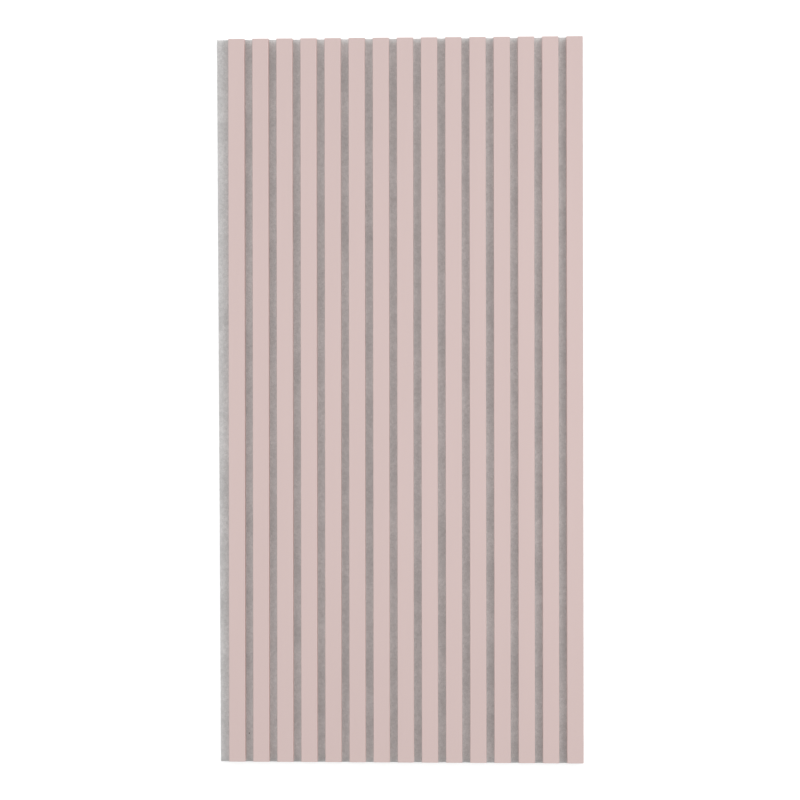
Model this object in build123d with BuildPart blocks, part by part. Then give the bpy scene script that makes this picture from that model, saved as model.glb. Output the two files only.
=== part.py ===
from build123d import *

import os

# Slatted wall panel: a row of MDF slats glued side by side along the face of a felt sheet.
# The panel lies on its back. +X runs across the slats, from the bare felt lip to the flush edge,
# +Y runs along the slats, from the panel's foot to its head, and +Z points out of the slats' front.
# The origin is in the middle of the panel's box, on the back of the felt.

# Driving dimensions, in millimetres
slat_count = 15
slat_length = 1200.0
slat_width = 27.0
slat_thickness = 12.0
slat_edge_radius = 1.0  # eased long edges of a slat's front face
slat_gap = 13.0
felt_thickness = 9.0
felt_overhang = 1.0  # how far the felt stands past the slats' ends, at the head and at the foot
lip_width_head = 20.0  # felt left bare beside the first slat, at the head
lip_width_foot = 15.0  # the same lip at the foot, where the sheet is trimmed narrower

# Places that follow from them
slat_pitch = slat_width + slat_gap
slats_span = (slat_count - 1) * slat_pitch + slat_width
panel_width = max(lip_width_head, lip_width_foot) + slats_span
flush_edge = panel_width / 2
first_slat_edge = flush_edge - slats_span
head = slat_length / 2 + felt_overhang
foot = -head

os.makedirs("parts", exist_ok=True)

# Felt sheet: flush with the last slat on one side, with a tapered bare lip on the other
with BuildPart() as felt_backing:
    with BuildSketch(Plane.XY):
        with BuildLine():
            Polyline(
                (first_slat_edge - lip_width_foot, foot),
                (flush_edge, foot),
                (flush_edge, head),
                (first_slat_edge - lip_width_head, head),
                close=True,
            )
        make_face()
    extrude(amount=felt_thickness)
felt_backing.part.label = "felt_backing"
export_step(felt_backing.part, "parts/felt_backing.step")

# Slats: one section each, standing on the felt, drawn out from the panel's middle both ways
for number in range(1, slat_count + 1):
    slat_centre = first_slat_edge + slat_width / 2 + (number - 1) * slat_pitch
    section_plane = Plane(origin=(slat_centre, 0, felt_thickness), x_dir=(1, 0, 0), z_dir=(0, -1, 0))
    with BuildPart() as slat:
        with BuildSketch(section_plane) as section:
            Rectangle(slat_width, slat_thickness, align=(Align.CENTER, Align.MIN))
            front_corners = section.vertices().group_by(Axis.Y)[-1]
            fillet(front_corners, radius=slat_edge_radius)
        extrude(amount=slat_length / 2, both=True)
    slat.part.label = f"slat_{number:02d}"
    export_step(slat.part, f"parts/{slat.part.label}.step")
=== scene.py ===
import math

import bpy
import numpy as np
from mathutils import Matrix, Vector


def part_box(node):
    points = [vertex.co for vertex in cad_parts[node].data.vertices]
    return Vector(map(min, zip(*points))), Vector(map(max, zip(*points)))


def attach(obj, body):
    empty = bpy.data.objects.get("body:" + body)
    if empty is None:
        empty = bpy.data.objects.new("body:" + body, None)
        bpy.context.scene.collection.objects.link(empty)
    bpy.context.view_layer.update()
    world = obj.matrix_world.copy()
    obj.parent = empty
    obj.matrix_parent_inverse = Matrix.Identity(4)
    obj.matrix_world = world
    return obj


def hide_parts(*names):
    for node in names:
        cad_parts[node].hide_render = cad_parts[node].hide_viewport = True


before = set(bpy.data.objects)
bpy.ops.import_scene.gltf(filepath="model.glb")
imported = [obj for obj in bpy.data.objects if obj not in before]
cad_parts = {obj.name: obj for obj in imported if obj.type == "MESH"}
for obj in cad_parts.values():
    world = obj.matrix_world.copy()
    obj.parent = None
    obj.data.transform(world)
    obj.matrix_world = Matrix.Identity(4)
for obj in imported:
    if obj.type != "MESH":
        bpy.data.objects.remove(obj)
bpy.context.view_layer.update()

# A slatted wall panel on its back: MDF slats faced with pink film, glued to a sheet of grey pressed felt.
# Metres, in the frame of the solids: +X across the slats, +Y to the panel's head, +Z out of its front.

MM = 0.001
BODY = "root"

# Places read from the solids
FELT_NODE = "felt_backing"
SLAT_NODES = sorted(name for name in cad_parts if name.startswith("slat_"))
slat_boxes = [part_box(name) for name in SLAT_NODES]
felt_low, felt_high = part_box(FELT_NODE)
felt_corners = [vertex.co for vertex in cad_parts[FELT_NODE].data.vertices]
lip_edge_head = min(corner.x for corner in felt_corners if corner.y > 0)
lip_edge_foot = min(corner.x for corner in felt_corners if corner.y < 0)

# Slat: the finish is a film wrapped round the MDF, so only the two sawn ends show the board inside
SLAT_EDGE_RADIUS = 1.0 * MM
FILM_THICKNESS = 0.35 * MM
SAW_ARRIS = 0.2 * MM
FILM_CHIP_DEPTH = 0.12 * MM
CHIP_FALLOFF = 3  # the higher it is, the fewer chips are deep
FILM_INDEX, SHADED_SIDE_FILM_INDEX, BOARD_INDEX = range(3)  # places in a slat's list of materials
SLAT_STATIONS = 24  # steps between the rings of points along a slat
SLAT_END_STATIONS = (0.7 * MM, 3.0 * MM)  # extra rings this far from each end keep the faces flat up to it
ARC_STEPS = 8  # these four are steps round a slat's section
FRONT_STEPS = 27
SIDE_STEPS = 11
BACK_STEPS = 4

# Felt: stations run along the panel, steps across it
FOOT_SIDE, FLUSH_SIDE, HEAD_SIDE, LIP_SIDE = range(4)  # counterclockwise from above
FELT_STATIONS = 464
ROLL_STATIONS = 8  # closer ones at each end, where the front rolls off
LIP_STEPS = 14
GAP_STEPS = 9
BACK_STATIONS = 160
BACK_COLUMNS = 80
FELT_EDGE_ROUND = 0.6 * MM
FELT_SHOULDER_DROP = 0.15  # midway on the rounding: below the front or above the back, as a share of it
FELT_SHOULDER_INSET = 0.4  # the same place: in from the cut edge, as the same share
FELT_BULGE = 0.1  # how far the cut edge swells at two heights, as the same share
FELT_BULGE_HIGH, FELT_BULGE_LOW = 0.72, 0.28  # those heights, as shares of the thickness
FELT_EDGE_SWELL = (1.0 * MM, 0.3 * MM, -0.4 * MM, 0.3 * MM)  # each side's cut edge, past its plane
FELT_HEAD_ROLL = 2.2 * MM  # how far the front sinks at its cut end, at the head
FELT_FOOT_ROLL = 1.2 * MM  # the same at the foot
FELT_ROLL_REACH = 12.0 * MM  # how far from the end that begins
FELT_PILLOW = 0.22 * MM  # how far bare felt stands up between the slats that hold it down
PILLOW_POWER = 4  # the higher it is, the flatter a bare strip is away from its slats
LUMP_FADE = 2  # lumps grow this much faster than the pillow, away from a slat
FELT_LUMPS = ((9.0 * MM, 0.08 * MM), (3.6 * MM, 0.05 * MM))  # cell and height of the relief
FELT_EDGE_FRAY = ((6.0 * MM, 0.12 * MM), (2.2 * MM, 0.10 * MM))  # the same round the cut edge
FELT_BACK_RELIEF = 0.5  # of the front's

# Loose fibres: thin closed spindles with three sides, lying on the bare felt or standing out of its cut edge
FIBRE_SIDES = 3
FIBRE_WIDTHS = (0.8, 1.0, 0.8)  # of its radius, at each of the rings between its two tips
FIBRE_RADIUS = 0.03 * MM
FIBRE_MARGIN = 3 * FIBRE_RADIUS  # between a fibre and the slats beside it
FIBRE_SINK = 0.05 * MM  # how deep the tips are in the felt
FRONT_FIBRES = 9500
FRONT_FIBRE_LENGTHS = (2.5 * MM, 9.0 * MM)
FRONT_FIBRE_ARCH = (0.06 * MM, 0.5 * MM)  # how far a fibre's middle is above the felt
ARCH_FALLOFF = 3  # the higher it is, the fewer fibres stand up far
EDGE_FIBRES = 9500
EDGE_FIBRE_LENGTHS = (0.4 * MM, 2.2 * MM)
EDGE_FIBRE_ROOT = 0.2 * MM  # how deep in the cut edge they start
EDGE_FIBRE_HEIGHTS = (0.12, 0.95)  # where they start, as shares of the cut edge's height
EDGE_FIBRE_SPREAD = 0.6  # how far they lean and curl, as a share of their length
EDGE_FIBRE_DROOP = 0.4  # how much of such a lean turns them towards the middle of the thickness
FIBRE_BEND = math.radians(70)  # the spread of their turns from end to end
CELL_MARGIN = 0.1  # round a fibre's place in the map for its colour, as a share of its cell

# Two small marks on the felt: a dark fleck of dirt and a pale curl of lint
FLECK_PLACE = (-251.0 * MM, -554.8 * MM)
FLECK_SIZE = (1.2 * MM, 2.6 * MM, 0.6 * MM)
FLECK_ROWS, FLECK_COLUMNS = 7, 12
FLECK_LUMPS = (0.8, 1.15)  # the least and the most of its radius
LINT_PLACE = (-129.0 * MM, -1.8 * MM)
LINT_SPREAD = (1.1 * MM, 0.3 * MM)  # of its fibres round that place
LINT_FIBRES = 60
LINT_SQUEEZE = (1, 0.35)  # of each fibre's reach, across the slats and along them
LINT_LENGTHS = (2.0 * MM, 4.0 * MM)
LINT_RADIUS = 0.045 * MM

SHARP_ANGLE = math.radians(35)  # faces that meet more steeply keep a crisp edge

# Noise and chance
LATTICE = 251  # random values along each side of the lattice, which then repeats
FRONT_SEED = 11
BACK_SEED = FRONT_SEED + 20
FRAY_SEED = FRONT_SEED + 40
FRONT_FIBRE_SEED = FRONT_SEED + 60
EDGE_FIBRE_SEED = FRONT_SEED + 70
LINT_SEED = FRONT_SEED + 80
FLECK_SEED = FRONT_SEED + 90
SLAT_SEED = FRONT_SEED + 100


def eased(share):
    """A share from 0 to 1 that starts and ends level."""
    return share * share * (3 - 2 * share)


def lattice_noise(x, y, cell, seed):
    """Smooth random values from -1 to 1, one for each point, over a lattice of square cells."""
    lattice = np.random.default_rng(seed).uniform(-1, 1, (LATTICE, LATTICE))
    column = np.floor(x / cell).astype(int)
    row = np.floor(y / cell).astype(int)
    s = eased(x / cell - column)
    t = eased(y / cell - row)

    def corner(right, up):
        return lattice[(row + up) % LATTICE, (column + right) % LATTICE]

    lower = corner(0, 0) * (1 - s) + corner(1, 0) * s
    upper = corner(0, 1) * (1 - s) + corner(1, 1) * s
    return lower * (1 - t) + upper * t


def relief(x, y, layers, seed):
    """The sum of several layers of noise, each with its cell and its height."""
    return sum(height * lattice_noise(x, y, cell, seed + n) for n, (cell, height) in enumerate(layers))


# Meshes


def new_piece(name, points, face_sets, materials, face_materials=None):
    """Makes a smooth-shaded piece from points and arrays of faces, and lets it ride on the panel's body."""
    mesh = bpy.data.meshes.new(name)
    corners = np.concatenate([faces.ravel() for faces in face_sets])
    counts = np.concatenate([np.full(len(faces), faces.shape[1]) for faces in face_sets])
    mesh.vertices.add(len(points))
    mesh.vertices.foreach_set("co", np.asarray(points, np.float32).ravel())
    mesh.loops.add(len(corners))
    mesh.loops.foreach_set("vertex_index", corners.astype(np.int32))
    mesh.polygons.add(len(counts))
    mesh.polygons.foreach_set("loop_start", (np.cumsum(counts) - counts).astype(np.int32))
    mesh.update(calc_edges=True)
    for material in materials:
        mesh.materials.append(material)
    if face_materials is not None:
        mesh.polygons.foreach_set("material_index", face_materials.astype(np.int32))
    mesh.shade_smooth()
    mesh.set_sharp_from_angle(angle=SHARP_ANGLE)
    piece = bpy.data.objects.new(name, mesh)
    bpy.context.scene.collection.objects.link(piece)
    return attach(piece, BODY)


def grid_faces(index):
    """Quads between the neighbouring rows and columns of an array of point numbers."""
    return np.stack([index[:-1, :-1], index[:-1, 1:], index[1:, 1:], index[1:, :-1]], -1).reshape(-1, 4)


def zip_chains(first, second):
    """Triangles between two chains of points that run side by side with different numbers of steps."""
    triangles = []
    i = j = 0
    first_steps, second_steps = len(first) - 1, len(second) - 1
    while i < first_steps or j < second_steps:
        if (i + 1) * second_steps <= (j + 1) * first_steps:
            triangles.append((first[i], first[i + 1], second[j]))
            i += 1
        else:
            triangles.append((first[i], second[j + 1], second[j]))
            j += 1
    return np.array(triangles)


def slat_outline(width, thickness):
    """A slat's section from its back's left corner, round by its right side, and each step's material."""
    radius = SLAT_EDGE_RADIUS
    half = width / 2
    shoulder = thickness - radius
    turn = np.linspace(0, math.pi / 2, ARC_STEPS, endpoint=False)
    back = [(x, 0.0) for x in np.linspace(-half, half, BACK_STEPS, endpoint=False)]
    right = [(half, z) for z in np.linspace(0, shoulder, SIDE_STEPS, endpoint=False)]
    right_arc = [(half - radius + radius * math.cos(a), shoulder + radius * math.sin(a)) for a in turn]
    front = [(x, thickness) for x in np.linspace(half - radius, radius - half, FRONT_STEPS, endpoint=False)]
    left_arc = [(radius - half - radius * math.sin(a), shoulder + radius * math.cos(a)) for a in turn]
    left = [(-half, z) for z in np.linspace(shoulder, 0, SIDE_STEPS, endpoint=False)]
    # The sides take a deeper, browner copy of the film: painted shade, as they stand in the gaps' shade
    shaded_side_film = [SHADED_SIDE_FILM_INDEX] * SIDE_STEPS
    front_film = [FILM_INDEX] * (2 * ARC_STEPS + FRONT_STEPS)
    step_materials = [FILM_INDEX] * BACK_STEPS + shaded_side_film + front_film + shaded_side_film
    return np.array(back + right + right_arc + front + left_arc + left), np.array(step_materials)


def inset_outline(outline, width, thickness, inset):
    """The same outline drawn in by an inset, towards the middle of the section."""
    middle = np.array([0.0, thickness / 2])
    shrink = np.array([1 - 2 * inset / width, 1 - 2 * inset / thickness])
    return middle + (outline - middle) * shrink


def make_slat(node, seed, film, shaded_side_film, board):
    """A slat as a wrapped bar: film all round, with painted shade on its sides, a broken arris at each sawn
    end, and bare board inside it.
    """
    low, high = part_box(node)
    width, length, thickness = high - low
    centre = (low + high) / 2
    outline, step_materials = slat_outline(width, thickness)
    arris = inset_outline(outline, width, thickness, SAW_ARRIS / 2)
    core = inset_outline(outline, width, thickness, FILM_THICKNESS)
    random = np.random.default_rng(seed)
    half = length / 2

    def ring(section, y):
        along = np.broadcast_to(y, len(section))
        return np.column_stack([centre.x + section[:, 0], along, low.z + section[:, 1]])

    def chips():
        return FILM_CHIP_DEPTH * random.uniform(0, 1, len(outline)) ** CHIP_FALLOFF

    even_stations = np.linspace(SAW_ARRIS - half, half - SAW_ARRIS, SLAT_STATIONS + 1)
    end_stations = half - np.array(SLAT_END_STATIONS)
    body_stations = np.sort(np.concatenate([even_stations, end_stations, -end_stations]))
    foot_rings = [ring(core, -half), ring(arris, -half + chips())]
    body_rings = [ring(outline, y) for y in body_stations]
    head_rings = [ring(arris, half - chips()), ring(core, half)]
    rings = np.array(foot_rings + body_rings + head_rings)
    index = np.arange(rings.shape[0] * rings.shape[1]).reshape(rings.shape[:2])
    closed = np.concatenate([index, index[:, :1]], 1)
    wrap = grid_faces(closed)
    ends = np.array([index[0, ::-1], index[-1]])[:, ::-1]
    wrap_materials = np.tile(step_materials, len(rings) - 1)
    face_materials = np.concatenate([wrap_materials, np.full(len(ends), BOARD_INDEX)])
    piece = new_piece(f"{node}_wrapped", rings.reshape(-1, 3), [wrap[:, ::-1], ends],
                      [film, shaded_side_film, board], face_materials)
    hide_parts(node)


def lip_edge(y):
    """Where the bare lip's outer edge is, which slants from the foot to the head."""
    share = (y - felt_low.y) / (felt_high.y - felt_low.y)
    return lip_edge_foot + (lip_edge_head - lip_edge_foot) * share


def lip_pillow(share):
    """How far up the lip's felt stands, from 1 at its outer edge to 0 at the first slat."""
    return 1 - share ** PILLOW_POWER


def gap_pillow(share):
    """The same across a gap, from 0 at each slat to 1 midway."""
    return 1 - (2 * share - 1) ** PILLOW_POWER


def felt_front_columns(y):
    """Places across the felt's front at each station, and how far up the felt stands at each one."""
    left = lip_edge(y) + FELT_EDGE_ROUND
    first_slat = slat_boxes[0][0].x
    shares = np.linspace(0, 1, LIP_STEPS, endpoint=False)
    columns = [left + (first_slat - left) * share for share in shares]
    pillow = [lip_pillow(share) for share in shares]
    for (low, high), after in zip(slat_boxes, slat_boxes[1:]):
        columns.append(np.full_like(y, low.x))
        pillow.append(0.0)
        for share in np.linspace(0, 1, GAP_STEPS, endpoint=False):
            columns.append(np.full_like(y, high.x + (after[0].x - high.x) * share))
            pillow.append(gap_pillow(share))
    for x in (slat_boxes[-1][0].x, felt_high.x - FELT_EDGE_ROUND):
        columns.append(np.full_like(y, x))
        pillow.append(0.0)
    return np.column_stack(columns), np.array(pillow)


def felt_roll(y):
    """How far the felt's bare front sinks, rounding off towards its cut ends."""
    head_share = np.maximum(0, 1 - (felt_high.y - y) / FELT_ROLL_REACH)
    foot_share = np.maximum(0, 1 - (y - felt_low.y) / FELT_ROLL_REACH)
    return FELT_HEAD_ROLL * head_share ** 2 + FELT_FOOT_ROLL * foot_share ** 2


def felt_rise(x, y, pillow):
    """How far the felt's front stands above its plane, from where a point lies between the slats."""
    lumps = relief(x, y, FELT_LUMPS, FRONT_SEED)
    return pillow * (FELT_PILLOW - felt_roll(y)) + lumps * np.minimum(1, LUMP_FADE * pillow)


def felt_stations(first, last):
    """Places along the felt: evenly spaced, and closer together where its front rolls off."""
    close = np.linspace(0, FELT_ROLL_REACH, ROLL_STATIONS, endpoint=False)
    even = np.linspace(first + FELT_ROLL_REACH, last - FELT_ROLL_REACH, FELT_STATIONS + 1)
    return np.concatenate([first + close, even, last - close[::-1]])


def border(index):
    """The four sides of a grid of point numbers, each from corner to corner, counterclockwise from above."""
    return [index[0], index[:, -1], index[-1, ::-1], index[::-1, 0]]


def loop_of(sides):
    """The sides of a border as one closed run of point numbers, with no corner twice."""
    return np.concatenate([side[:-1] for side in sides])


def make_felt(material):
    """The felt as one closed sheet: bare strips in relief, soft frayed edges and a plain back."""
    inset = FELT_EDGE_ROUND
    y = felt_stations(felt_low.y + inset, felt_high.y - inset)
    front_x, pillow = felt_front_columns(y)
    front_y = np.broadcast_to(y[:, None], front_x.shape)
    front_z = felt_high.z + felt_rise(front_x, front_y, pillow)
    front = np.stack([front_x, front_y, front_z], -1)

    back_y = np.linspace(y[0], y[-1], BACK_STATIONS + 1)
    across = np.linspace(0, 1, BACK_COLUMNS + 1)
    back_left = lip_edge(back_y) + inset
    back_x = back_left[:, None] + (felt_high.x - inset - back_left[:, None]) * across
    back_y = np.broadcast_to(back_y[:, None], back_x.shape)
    lumps = relief(back_x, back_y, FELT_LUMPS, BACK_SEED)
    hollows = FELT_BACK_RELIEF * (lumps + sum(height for _, height in FELT_LUMPS))
    back = np.stack([back_x, back_y, felt_low.z + hollows], -1)

    front_index = np.arange(front_x.size).reshape(front_x.shape)
    rim = loop_of(border(front_index))
    rim_points = front.reshape(-1, 3)[rim]
    columns, stations = front_x.shape[1] - 1, front_x.shape[0] - 1
    outward = np.zeros((len(rim), 2))
    outward[: columns + 1, 1] -= 1
    outward[columns : columns + stations + 1, 0] += 1
    outward[columns + stations : 2 * columns + stations + 1, 1] += 1
    outward[2 * columns + stations :, 0] -= 1
    outward[0, 0] -= 1
    swell = np.repeat(FELT_EDGE_SWELL, (columns, stations, columns, stations))

    # Each layer of the cut edge, from the front down: its height, and how far it is drawn in from the edge
    thickness = felt_high.z - felt_low.z
    shoulder_drop, shoulder_inset = FELT_SHOULDER_DROP * inset, FELT_SHOULDER_INSET * inset
    bulge = FELT_BULGE * inset
    layers = (
        (thickness - shoulder_drop, shoulder_inset),
        (thickness - inset, 0.0),
        (FELT_BULGE_HIGH * thickness, -bulge),
        (thickness / 2, 0.0),
        (FELT_BULGE_LOW * thickness, -bulge),
        (inset, 0.0),
        (shoulder_drop, shoulder_inset),
    )
    steps = np.diff(rim_points[:, :2], axis=0, prepend=rim_points[-1:, :2])
    along = np.cumsum(np.linalg.norm(steps, axis=1))
    walls = []
    for height, drawn_in in layers:
        fray = relief(along, np.full_like(along, height), FELT_EDGE_FRAY, FRAY_SEED)
        reach = inset + swell - drawn_in + fray
        place = rim_points.copy()
        place[:, :2] += outward * reach[:, None]
        place[:, 2] = felt_low.z + height * (rim_points[:, 2] - felt_low.z) / thickness
        walls.append(place)
    walls = np.array(walls)

    wall_index = front_index.size + np.arange(walls.shape[0] * walls.shape[1]).reshape(walls.shape[:2])
    back_index = front_index.size + wall_index.size + np.arange(back_x.size).reshape(back_x.shape)
    rings = np.concatenate([rim[None], wall_index])
    rings = np.concatenate([rings, rings[:, :1]], 1)
    corner_places = np.cumsum([0, columns, stations, columns, stations])
    last_ring = rings[-1]
    back_sides = border(back_index)
    seams = [
        zip_chains(last_ring[start : stop + 1], side)[:, ::-1]
        for start, stop, side in zip(corner_places, corner_places[1:], back_sides)
    ]
    quads = np.concatenate([
        grid_faces(front_index),
        grid_faces(rings)[:, ::-1],
        grid_faces(back_index)[:, ::-1],
    ])
    points = np.concatenate([front.reshape(-1, 3), walls.reshape(-1, 3), back.reshape(-1, 3)])
    piece = new_piece("felt_sheet", points, [quads, np.concatenate(seams)], [material])
    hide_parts(FELT_NODE)


def fibre_piece(name, paths, radius, material, seed):
    """Makes one piece of many loose fibres: each path becomes a spindle with a pointed tip at both ends."""
    count, steps = paths.shape[:2]
    random = np.random.default_rng(seed)
    tangent = np.gradient(paths, axis=1)
    tangent /= np.linalg.norm(tangent, axis=2, keepdims=True)
    first = np.cross(tangent, random.normal(size=(count, 1, 3)))
    first /= np.linalg.norm(first, axis=2, keepdims=True)
    second = np.cross(tangent, first)
    turns = 2 * math.pi * np.arange(FIBRE_SIDES) / FIBRE_SIDES
    spokes = first[:, :, None] * np.cos(turns)[:, None] + second[:, :, None] * np.sin(turns)[:, None]
    widths = radius * np.array(FIBRE_WIDTHS)[:, None, None]
    rings = paths[:, 1:-1, None] + spokes[:, 1:-1] * widths
    points = np.concatenate([paths[:, :1], rings.reshape(count, -1, 3), paths[:, -1:]], 1)

    # One fibre's faces, with each corner's place along the fibre and around it in the map for its colour
    last = points.shape[1] - 1
    tips, tip_places, walls, wall_places = [], [], [], []
    for side in range(FIBRE_SIDES):
        after = (side + 1) % FIBRE_SIDES
        left, middle, right = side / FIBRE_SIDES, (side + 0.5) / FIBRE_SIDES, (side + 1) / FIBRE_SIDES
        top = last - FIBRE_SIDES
        tips += [(0, 1 + after, 1 + side), (last, top + side, top + after)]
        near, far = 1 / (steps - 1), (steps - 2) / (steps - 1)
        tip_places += [((0, middle), (near, right), (near, left)), ((1, middle), (far, left), (far, right))]
        for ring in range(steps - 3):
            low, high = 1 + ring * FIBRE_SIDES, 1 + (ring + 1) * FIBRE_SIDES
            walls.append((low + side, low + after, high + after, high + side))
            start, stop = (ring + 1) / (steps - 1), (ring + 2) / (steps - 1)
            wall_places.append(((start, left), (start, right), (stop, right), (stop, left)))
    base = (last + 1) * np.arange(count)[:, None, None]
    face_sets = [(base + np.array(faces)).reshape(-1, len(faces[0])) for faces in (tips, walls)]
    piece = new_piece(name, points.reshape(-1, 3), face_sets, [material])

    # Each fibre has a square cell of its own in that map
    cells = math.ceil(math.sqrt(count))
    corner = np.stack([np.arange(count) % cells, np.arange(count) // cells], -1)[:, None, None]
    size = 1 - 2 * CELL_MARGIN
    places = [corner + CELL_MARGIN + size * np.array(shares) for shares in (tip_places, wall_places)]
    layer = piece.data.uv_layers.new(name="OFBake")
    layer.data.foreach_set("uv", np.concatenate([p.ravel() for p in places]).astype(np.float32) / cells)


def bent_lines(random, count, lengths):
    """Level lines of random length and heading, each bent one way, around the origin."""
    steps = len(FIBRE_WIDTHS) + 1
    length = random.uniform(*lengths, (count, 1))
    heading = random.uniform(0, 2 * math.pi, (count, 1))
    bend = random.normal(0, FIBRE_BEND, (count, 1))
    angle = heading + bend * (np.arange(steps) / (steps - 1) - 0.5)
    runs = np.stack([np.cos(angle), np.sin(angle)], -1) * length[:, :, None] / steps
    lines = np.concatenate([np.zeros((count, 1, 2)), np.cumsum(runs, 1)], 1)
    return lines - lines.mean(1, keepdims=True)


def arched(random, count):
    """How far each point of a fibre is above the felt: its tips sunk in, and its middle lifted a little."""
    share = np.linspace(-1, 1, len(FIBRE_WIDTHS) + 2)
    least, most = FRONT_FIBRE_ARCH
    arch = least + (most - least) * random.uniform(0, 1, (count, 1)) ** ARCH_FALLOFF
    return (arch + FIBRE_SINK) * (1 - share ** 2) - FIBRE_SINK


def make_front_fibres(material):
    """Fibres that lie loose on the bare strips, between two slats or on the lip."""
    random = np.random.default_rng(FRONT_FIBRE_SEED)
    lines = bent_lines(random, FRONT_FIBRES, FRONT_FIBRE_LENGTHS)
    reach = np.abs(lines[..., 1]).max()
    y = random.uniform(felt_low.y + reach, felt_high.y - reach, FRONT_FIBRES)
    # The bare strips: the lip comes first, then each gap
    lefts = np.array([lip_edge_foot] + [high.x for _, high in slat_boxes[:-1]])
    rights = np.array([low.x for low, _ in slat_boxes])
    strip = random.choice(len(lefts), FRONT_FIBRES, p=(rights - lefts) / (rights - lefts).sum())
    on_lip = strip == 0
    left = np.where(on_lip, lip_edge(y) + FELT_EDGE_ROUND, lefts[strip])
    right = rights[strip]
    low, high = lines[..., 0].min(1), lines[..., 0].max(1)
    room = right - left - 2 * FIBRE_MARGIN - (high - low)
    x = left + FIBRE_MARGIN - low + random.uniform(0, 1, FRONT_FIBRES) * room
    lines += np.stack([x, y], -1)[:, None]
    share = (lines[..., 0] - left[:, None]) / (right - left)[:, None]
    pillow = np.where(on_lip[:, None], lip_pillow(share), gap_pillow(share))
    rise = felt_rise(lines[..., 0], lines[..., 1], pillow)
    z = felt_high.z + rise + arched(random, FRONT_FIBRES)
    fibre_piece("felt_front_fibres", np.dstack([lines, z]), FIBRE_RADIUS, material, FRONT_FIBRE_SEED + 1)


def make_edge_fibres(material):
    """Fibres that stand out of the felt's cut edge, all round the sheet."""
    random = np.random.default_rng(EDGE_FIBRE_SEED)
    width, length = felt_high.x - felt_low.x, felt_high.y - felt_low.y
    side_shares = np.array([width, length, width, length]) / (2 * (width + length))
    side = random.choice(len(side_shares), EDGE_FIBRES, p=side_shares)
    share = random.uniform(0, 1, EDGE_FIBRES)
    y = felt_low.y + length * share
    y = np.where(side == FOOT_SIDE, felt_low.y, np.where(side == HEAD_SIDE, felt_high.y, y))
    left = lip_edge(y)
    x = left + (felt_high.x - left) * share
    x = np.where(side == FLUSH_SIDE, felt_high.x, np.where(side == LIP_SIDE, left, x))
    outward = np.array([(0, -1, 0), (1, 0, 0), (0, 1, 0), (-1, 0, 0)])[side]
    beside = np.array([(1, 0, 0), (0, 1, 0), (1, 0, 0), (0, 1, 0)])[side]
    reach = random.uniform(*EDGE_FIBRE_LENGTHS, EDGE_FIBRES)
    thickness = felt_high.z - felt_low.z
    roll = np.array([FELT_FOOT_ROLL, 0, FELT_HEAD_ROLL, 0])[side]
    z = felt_low.z + (thickness - roll) * random.uniform(*EDGE_FIBRE_HEIGHTS, EDGE_FIBRES)
    lean, curl, droop = random.normal(0, EDGE_FIBRE_SPREAD, (3, EDGE_FIBRES, 1)) * reach[:, None]
    t = np.linspace(0, 1, len(FIBRE_WIDTHS) + 2)
    swell = np.array(FELT_EDGE_SWELL)[side][:, None]
    out = swell - EDGE_FIBRE_ROOT + (reach[:, None] + EDGE_FIBRE_ROOT) * t
    along = lean * t + curl * t ** 2
    to_middle = np.where(z > felt_low.z + thickness / 2, -1, 1)[:, None]
    up = EDGE_FIBRE_DROOP * np.minimum(thickness, np.abs(droop)) * t ** 2 * to_middle
    roots = np.stack([x, y, z], -1)[:, None]
    paths = roots + out[..., None] * outward[:, None] + along[..., None] * beside[:, None]
    paths[..., 2] += up
    fibre_piece("felt_edge_fibres", paths, FIBRE_RADIUS, material, EDGE_FIBRE_SEED + 1)


def make_lint(material):
    """A pale curl of fibres lying on the felt."""
    random = np.random.default_rng(LINT_SEED)
    lines = bent_lines(random, LINT_FIBRES, LINT_LENGTHS) * LINT_SQUEEZE
    lines += np.array(LINT_PLACE) + random.normal(0, 1, (LINT_FIBRES, 1, 2)) * LINT_SPREAD
    rise = felt_rise(lines[..., 0], lines[..., 1], np.ones(lines.shape[:2]))
    z = felt_high.z + rise + arched(random, LINT_FIBRES)
    fibre_piece("pale_lint", np.dstack([lines, z]), LINT_RADIUS, material, LINT_SEED + 1)


def make_fleck(material):
    """A dark crumb of dirt half sunk in the felt."""
    random = np.random.default_rng(FLECK_SEED)
    rows = np.linspace(0, math.pi, FLECK_ROWS)[1:-1]
    columns = np.linspace(0, 2 * math.pi, FLECK_COLUMNS, endpoint=False)
    polar, turn = np.meshgrid(rows, columns, indexing="ij")
    ball = np.stack([np.sin(polar) * np.cos(turn), np.sin(polar) * np.sin(turn), np.cos(polar)], -1)
    ball *= random.uniform(*FLECK_LUMPS, ball.shape[:2])[..., None]
    points = np.concatenate([ball.reshape(-1, 3), [(0, 0, 1), (0, 0, -1)]]) * np.array(FLECK_SIZE) / 2
    x, y = FLECK_PLACE
    points += (x, y, felt_high.z + felt_rise(np.array(x), np.array(y), 1.0))
    index = np.arange(ball.shape[0] * FLECK_COLUMNS).reshape(-1, FLECK_COLUMNS)
    index = np.concatenate([index, index[:, :1]], 1)
    top, bottom = len(points) - 2, len(points) - 1
    caps = [(top, a, b) for a, b in zip(index[0], index[0, 1:])]
    caps += [(bottom, b, a) for a, b in zip(index[-1], index[-1, 1:])]
    face_sets = [grid_faces(index)[:, ::-1], np.array(caps)]
    new_piece("dark_fleck", points, face_sets, [material])


# Materials

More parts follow.
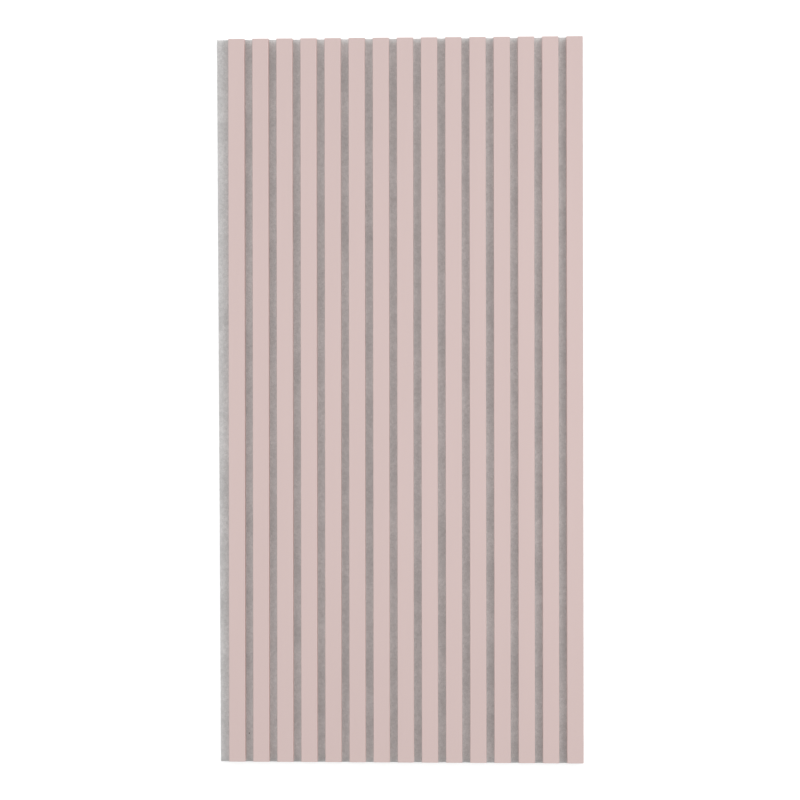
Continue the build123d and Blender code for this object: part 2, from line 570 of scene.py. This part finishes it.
FILM_PINK = (0.640, 0.500, 0.480, 1)
FILM_SHADED_SIDE_PINK = (0.652, 0.482, 0.446, 1)  # the same film, deeper and browner on the slats' sides: painted shade for the sides down in the gaps
FELT_GREY = (0.584, 0.574, 0.570, 1)
MDF_DARK, MDF_LIGHT = (0.36, 0.235, 0.135, 1), (0.54, 0.39, 0.255, 1)
FIBRE_DARK, FIBRE_LIGHT = (0.36, 0.355, 0.35, 1), (0.76, 0.75, 0.74, 1)
LINT_DARK, LINT_LIGHT = (0.74, 0.73, 0.71, 1), (0.86, 0.85, 0.83, 1)
DIRT_DARK, DIRT_LIGHT = (0.05, 0.045, 0.04, 1), (0.16, 0.14, 0.12, 1)
NOISE_SPAN = (0.3, 0.7)  # where most of a noise's values lie
NOISE_MIDDLE = (0.35, 0.65)  # a narrower span, which sets two tones further apart
STRAND_SPAN = (0.5, 0.75)  # where the highest of the strand noises mostly lies
STRAND_WAYS = 5  # directions in which the felt's fibres lie
STRAND_FIRST_WAY = 0.2  # radians from +X
STRAND_STRETCH = (7, 1, 1)  # along such a direction, and across it
FULL_SHARE = (0, 1)


def new_material(name):
    """An empty node material and its Principled shader, already joined to the output."""
    material = bpy.data.materials.new(name)
    material.use_nodes = True
    tree = material.node_tree
    tree.nodes.clear()
    output = tree.nodes.new("ShaderNodeOutputMaterial")
    shader = tree.nodes.new("ShaderNodeBsdfPrincipled")
    tree.links.new(shader.outputs["BSDF"], output.inputs["Surface"])
    return material, tree, shader


def put(tree, socket, value):
    """Links a socket to another one, or sets its value."""
    if isinstance(value, bpy.types.NodeSocket):
        tree.links.new(value, socket)
    else:
        socket.default_value = value


def place_of(tree, stretch=(1, 1, 1), turn=0.0):
    """Places on the piece in metres, turned about Z and then stretched."""
    place = tree.nodes.new("ShaderNodeTexCoord").outputs["Object"]
    mapping = tree.nodes.new("ShaderNodeMapping")
    mapping.vector_type = "TEXTURE"
    mapping.inputs["Scale"].default_value = stretch
    mapping.inputs["Rotation"].default_value = (0, 0, turn)
    tree.links.new(place, mapping.inputs["Vector"])
    return mapping.outputs["Vector"]


def noise(tree, place, size, detail=2.0, roughness=0.5):
    """Noise from 0 to 1 whose features are about as large as size."""
    texture = tree.nodes.new("ShaderNodeTexNoise")
    put(tree, texture.inputs["Vector"], place)
    texture.inputs["Scale"].default_value = 1 / size
    texture.inputs["Detail"].default_value = detail
    texture.inputs["Roughness"].default_value = roughness
    return texture.outputs["Fac"]


def remap(tree, value, old, new):
    """Carries a range of values over to another range, without going past its ends."""
    node = tree.nodes.new("ShaderNodeMapRange")
    put(tree, node.inputs["Value"], value)
    node.inputs["From Min"].default_value, node.inputs["From Max"].default_value = old
    node.inputs["To Min"].default_value, node.inputs["To Max"].default_value = new
    return node.outputs["Result"]


def maths(tree, operation, first, second):
    """The result of one operation on two values."""
    node = tree.nodes.new("ShaderNodeMath")
    node.operation = operation
    put(tree, node.inputs[0], first)
    put(tree, node.inputs[1], second)
    return node.outputs["Value"]


def mixed_colour(tree, share, first, second, blend="MIX"):
    """One colour blended with another, by a share that may change over the surface."""
    node = tree.nodes.new("ShaderNodeMix")
    node.data_type = "RGBA"
    node.blend_type = blend
    put(tree, node.inputs["Factor"], share)
    colour_in = [socket for socket in node.inputs if socket.type == "RGBA"]
    put(tree, colour_in[0], first)
    put(tree, colour_in[1], second)
    return next(socket for socket in node.outputs if socket.type == "RGBA")


def scaled_colour(tree, colour, factor):
    """A colour made lighter or darker by a factor that changes over the surface."""
    return mixed_colour(tree, 1.0, colour, factor, "MULTIPLY")


def bump(tree, height, depth, below=None):
    """A normal from a height of 0 to 1 that stands for a real depth."""
    node = tree.nodes.new("ShaderNodeBump")
    node.inputs["Strength"].default_value = 1.0
    node.inputs["Distance"].default_value = depth
    put(tree, node.inputs["Height"], height)
    if below is not None:
        tree.links.new(below, node.inputs["Normal"])
    return node.outputs["Normal"]


def film_material(name, colour):
    """Matt pink film: nearly even, with a faint drift along each slat and a fine orange peel."""
    material, tree, shader = new_material(name)
    drift = noise(tree, place_of(tree, stretch=(0.1, 1, 1)), size=400 * MM)
    grain = noise(tree, place_of(tree), size=1.1 * MM, detail=3)
    tone = maths(
        tree, "MULTIPLY",
        remap(tree, drift, NOISE_SPAN, new=(0.992, 1.008)),
        remap(tree, grain, NOISE_SPAN, new=(0.994, 1.006)),
    )
    put(tree, shader.inputs["Base Color"], scaled_colour(tree, colour, tone))
    put(tree, shader.inputs["Roughness"], remap(tree, grain, NOISE_SPAN, new=(0.56, 0.64)))
    peel = bump(tree, noise(tree, place_of(tree), size=1.6 * MM, detail=1), depth=0.012 * MM)
    put(tree, shader.inputs["Normal"], bump(tree, grain, depth=0.004 * MM, below=peel))
    return material


def board_material():
    """Sawn MDF: tan, with fine fibre flecks in soft clouds."""
    material, tree, shader = new_material("sawn_mdf")
    fleck = noise(tree, place_of(tree, stretch=(2.5, 1, 0.7)), size=0.5 * MM, detail=4, roughness=0.65)
    cloud = noise(tree, place_of(tree), size=5 * MM)
    colour = mixed_colour(tree, remap(tree, fleck, NOISE_SPAN, FULL_SHARE), MDF_DARK, MDF_LIGHT)
    colour = scaled_colour(tree, colour, remap(tree, cloud, NOISE_SPAN, new=(0.93, 1.07)))
    put(tree, shader.inputs["Base Color"], colour)
    put(tree, shader.inputs["Roughness"], remap(tree, fleck, NOISE_SPAN, new=(0.8, 0.95)))
    put(tree, shader.inputs["Normal"], bump(tree, fleck, depth=0.08 * MM))
    return material


def felt_material():
    """Pressed polyester felt: light and dark grey fibres lying every way, in soft clouds."""
    material, tree, shader = new_material("grey_felt")
    strands = None
    for number in range(STRAND_WAYS):
        way = math.pi * number / STRAND_WAYS + STRAND_FIRST_WAY
        strand = noise(tree, place_of(tree, STRAND_STRETCH, turn=way), size=0.32 * MM)
        strands = strand if strands is None else maths(tree, "MAXIMUM", strands, strand)
    cloud = noise(tree, place_of(tree), size=5.5 * MM)
    drift = noise(tree, place_of(tree), size=60 * MM)
    strand_tone = remap(tree, strands, STRAND_SPAN, new=(0.76, 1.24))
    cloud_tone = remap(tree, cloud, NOISE_SPAN, new=(0.92, 1.08))
    drift_tone = remap(tree, drift, NOISE_SPAN, new=(0.92, 1.08))
    tone = maths(tree, "MULTIPLY", maths(tree, "MULTIPLY", strand_tone, cloud_tone), drift_tone)
    put(tree, shader.inputs["Base Color"], scaled_colour(tree, FELT_GREY, tone))
    shader.inputs["Roughness"].default_value = 0.95
    shader.inputs["Specular IOR Level"].default_value = 0.2
    shader.inputs["Sheen Weight"].default_value = 0.15
    shader.inputs["Sheen Roughness"].default_value = 0.5
    clouds = bump(tree, cloud, depth=0.045 * MM)
    put(tree, shader.inputs["Normal"], bump(tree, strands, depth=0.06 * MM, below=clouds))
    return material


def fibre_material(name, dark, light):
    """Loose polyester fibre: each one somewhere between a dark and a light colour."""
    material, tree, shader = new_material(name)
    tone = remap(tree, noise(tree, place_of(tree), size=1.5 * MM), NOISE_MIDDLE, FULL_SHARE)
    put(tree, shader.inputs["Base Color"], mixed_colour(tree, tone, dark, light))
    shader.inputs["Roughness"].default_value = 0.7
    shader.inputs["Specular IOR Level"].default_value = 0.3
    return material


def fleck_material():
    """Dark dirt with a lighter grit in it."""
    material, tree, shader = new_material("dark_dirt")
    grit = noise(tree, place_of(tree), size=0.3 * MM, detail=3)
    colour = mixed_colour(tree, remap(tree, grit, NOISE_MIDDLE, FULL_SHARE), DIRT_DARK, DIRT_LIGHT)
    put(tree, shader.inputs["Base Color"], colour)
    put(tree, shader.inputs["Roughness"], remap(tree, grit, NOISE_SPAN, new=(0.8, 0.95)))
    put(tree, shader.inputs["Normal"], bump(tree, grit, depth=0.1 * MM))
    return material


# Stage, light and camera

WHITE = (1, 1, 1, 1)
FLOOR_SIZE = 14.0
FLOOR_DROP = 0.2 * MM  # below the felt's back, so that the two never share a plane
FLOOR_SEEN = (0.42, 0.42, 0.42, 1)  # its colour where it is seen, under a glow that makes it white
FLOOR_LIT = (0.8, 0.8, 0.8, 1)  # the white that it throws back on to the panel
FLOOR_GLOW = 0.76
SKY_DIM, SKY_BRIGHT = 0.31, 1.70  # its light from the foot's side, and from the head's
SKY_RISE = (-0.05, 0.75)  # where between the two it grows, by how far a direction points to the head
LAMP_MIDDLE = (0.1, 0.2, 0.0)  # the point that both side lamps face
LAMP_REACH = 1.0  # how far out to each side a lamp stands
LAMP_HEIGHT = 1.32
LAMP_SIZE = (2.4, 0.7)  # along the slats, and across them
LEFT, RIGHT = -1, 1
LAMP_POWER = {LEFT: 5.6, RIGHT: 9.5}  # watts
CAMERA_PLACE = (0.1017, 0.0037, 3.021)
CAMERA_TURN = (-0.0706, 1.9207, -0.0780)  # degrees
CAMERA_LENS = 81.62  # millimetres, as the sensor's width is
SENSOR_WIDTH = 36.0


def seen_directly(tree):
    """1 for the rays that show a thing itself or its mirror image, and 0 for those that carry its light."""
    rays = tree.nodes.new("ShaderNodeLightPath").outputs
    mirrored = maths(tree, "MAXIMUM", rays["Is Glossy Ray"], rays["Is Transmission Ray"])
    return maths(tree, "MAXIMUM", rays["Is Camera Ray"], mirrored)


def make_floor():
    """A white floor that still takes the panel's soft shadow."""
    half = FLOOR_SIZE / 2
    z = felt_low.z - FLOOR_DROP
    mesh = bpy.data.meshes.new("studio_floor")
    corners = [(-half, -half, z), (half, -half, z), (half, half, z), (-half, half, z)]
    mesh.from_pydata(corners, [], [(0, 1, 2, 3)])
    floor = bpy.data.objects.new("studio_floor", mesh)
    bpy.context.scene.collection.objects.link(floor)
    material = bpy.data.materials.new("studio_white")
    material.use_nodes = True
    tree = material.node_tree
    tree.nodes.clear()
    diffuse = tree.nodes.new("ShaderNodeBsdfDiffuse")
    put(tree, diffuse.inputs["Color"], mixed_colour(tree, seen_directly(tree), FLOOR_LIT, FLOOR_SEEN))
    glow = tree.nodes.new("ShaderNodeEmission")
    glow.inputs["Color"].default_value = WHITE
    put(tree, glow.inputs["Strength"], maths(tree, "MULTIPLY", seen_directly(tree), FLOOR_GLOW))
    both = tree.nodes.new("ShaderNodeAddShader")
    tree.links.new(diffuse.outputs["BSDF"], both.inputs[0])
    tree.links.new(glow.outputs["Emission"], both.inputs[1])
    output = tree.nodes.new("ShaderNodeOutputMaterial")
    tree.links.new(both.outputs["Shader"], output.inputs["Surface"])
    mesh.materials.append(material)


def make_world():
    """A plain white surround that lights the panel softly and looks white itself."""
    world = bpy.data.worlds.new("studio")
    bpy.context.scene.world = world
    world.use_nodes = True
    tree = world.node_tree
    tree.nodes.clear()
    light = tree.nodes.new("ShaderNodeBackground")
    light.inputs["Color"].default_value = WHITE
    way = tree.nodes.new("ShaderNodeSeparateXYZ")
    tree.links.new(tree.nodes.new("ShaderNodeTexCoord").outputs["Generated"], way.inputs["Vector"])
    put(tree, light.inputs["Strength"], remap(tree, way.outputs["Y"], SKY_RISE, (SKY_DIM, SKY_BRIGHT)))
    white = tree.nodes.new("ShaderNodeBackground")
    white.inputs["Color"].default_value = WHITE
    choice = tree.nodes.new("ShaderNodeMixShader")
    put(tree, choice.inputs["Fac"], seen_directly(tree))
    tree.links.new(light.outputs["Background"], choice.inputs[1])
    tree.links.new(white.outputs["Background"], choice.inputs[2])
    output = tree.nodes.new("ShaderNodeOutputWorld")
    tree.links.new(choice.outputs["Shader"], output.inputs["Surface"])


def make_side_lamp(name, side):
    """A long soft lamp beside the panel, along its slats, on the left or the right."""
    lamp = bpy.data.lights.new(name, "AREA")
    lamp.shape = "RECTANGLE"
    lamp.size, lamp.size_y = LAMP_SIZE
    lamp.energy = LAMP_POWER[side]
    holder = bpy.data.objects.new(name, lamp)
    bpy.context.scene.collection.objects.link(holder)
    middle = Vector(LAMP_MIDDLE)
    holder.location = middle + Vector((side * LAMP_REACH, 0, LAMP_HEIGHT))
    holder.rotation_euler = (middle - holder.location).to_track_quat("-Z", "Y").to_euler()


def make_camera():
    """The camera looks down on the panel, a little to the right of its middle."""
    camera = bpy.data.cameras.new("camera")
    camera.sensor_width = SENSOR_WIDTH
    camera.lens = CAMERA_LENS
    holder = bpy.data.objects.new("camera", camera)
    bpy.context.scene.collection.objects.link(holder)
    holder.location = CAMERA_PLACE
    holder.rotation_euler = [math.radians(angle) for angle in CAMERA_TURN]
    bpy.context.scene.camera = holder


# The panel, then what lights and shows it

film = film_material("pink_film", FILM_PINK)
# The sides' film is the same film in a deeper, browner colour: painted shade
shaded_side_film = film_material("pink_film_shaded_side", FILM_SHADED_SIDE_PINK)
board = board_material()
for number, slat_node in enumerate(SLAT_NODES):
    make_slat(slat_node, SLAT_SEED + number, film, shaded_side_film, board)
make_felt(felt_material())
loose_fibre = fibre_material("loose_fibre", FIBRE_DARK, FIBRE_LIGHT)
make_front_fibres(loose_fibre)
make_edge_fibres(loose_fibre)
make_lint(fibre_material("pale_fibre", LINT_DARK, LINT_LIGHT))
make_fleck(fleck_material())
make_floor()
make_world()
make_side_lamp("left_lamp", LEFT)
make_side_lamp("right_lamp", RIGHT)
make_camera()
bpy.context.scene.view_settings.view_transform = "Standard"
